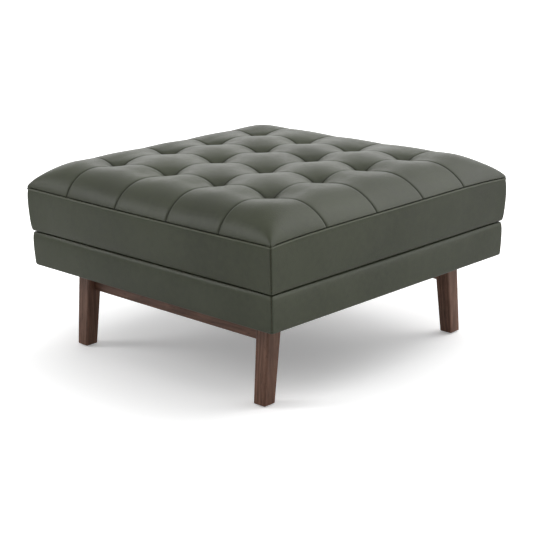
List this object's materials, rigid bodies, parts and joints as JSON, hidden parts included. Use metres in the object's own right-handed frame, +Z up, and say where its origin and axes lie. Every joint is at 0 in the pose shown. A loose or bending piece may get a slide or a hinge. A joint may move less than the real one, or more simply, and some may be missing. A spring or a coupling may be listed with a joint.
{
  "type": "ottoman",
  "caption": "Square ottoman with a blind-tufted leather cushion on a leather-covered box, on splayed wooden legs with a rail between each pair.",
  "frame": {"origin": "on the floor, under the middle of the ottoman", "axes": "+Z is up; -Y faces the front, which is one of the two sides with a wooden rail; +X is to the right"},
  "size_m": [0.8104, 0.8104, 0.448],
  "materials": {
    "cushion_leather": "satin",
    "box_leather": "satin",
    "walnut": "satin",
    "frame_timber": "matte",
    "plywood": "matte",
    "foam": "matte",
    "lining_fabric": "matte",
    "twine": "matte",
    "fastener_steel": "satin",
    "glide_plastic": "matte"
  },
  "bodies": {
    "root": {"tufted_top": "cushion_leather", "boxing_front": "cushion_leather", "boxing_back": "cushion_leather", "boxing_left": "cushion_leather", "boxing_right": "cushion_leather", "cushion_foam": "foam", "cushion_board": "plywood", "cushion_under_cover": "lining_fabric", "cushion_screws": "fastener_steel", "tuft_washers": "fastener_steel", "tuft_twines": "twine", "box_cover_front": "box_leather", "box_cover_back": "box_leather", "box_cover_left": "box_leather", "box_cover_right": "box_leather", "box_pad_front": "foam", "box_pad_back": "foam", "box_pad_left": "foam", "box_pad_right": "foam", "frame_board_front": "frame_timber", "frame_board_back": "frame_timber", "frame_board_left": "frame_timber", "frame_board_right": "frame_timber", "batten_left": "frame_timber", "batten_right": "frame_timber", "corner_block_front_left": "frame_timber", "corner_block_front_right": "frame_timber", "corner_block_back_left": "frame_timber", "corner_block_back_right": "frame_timber", "deck_panel": "plywood", "deck_screws": "fastener_steel", "frame_screws": "fastener_steel", "dust_cover": "lining_fabric", "leg_front_left": "walnut", "leg_front_right": "walnut", "leg_back_left": "walnut", "leg_back_right": "walnut", "front_rail": "walnut", "back_rail": "walnut", "rail_dowels": "frame_timber", "leg_bolts": "fastener_steel", "leg_washers": "fastener_steel", "leg_nuts": "fastener_steel", "floor_glides": "glide_plastic"}
  },
  "joints": []
}
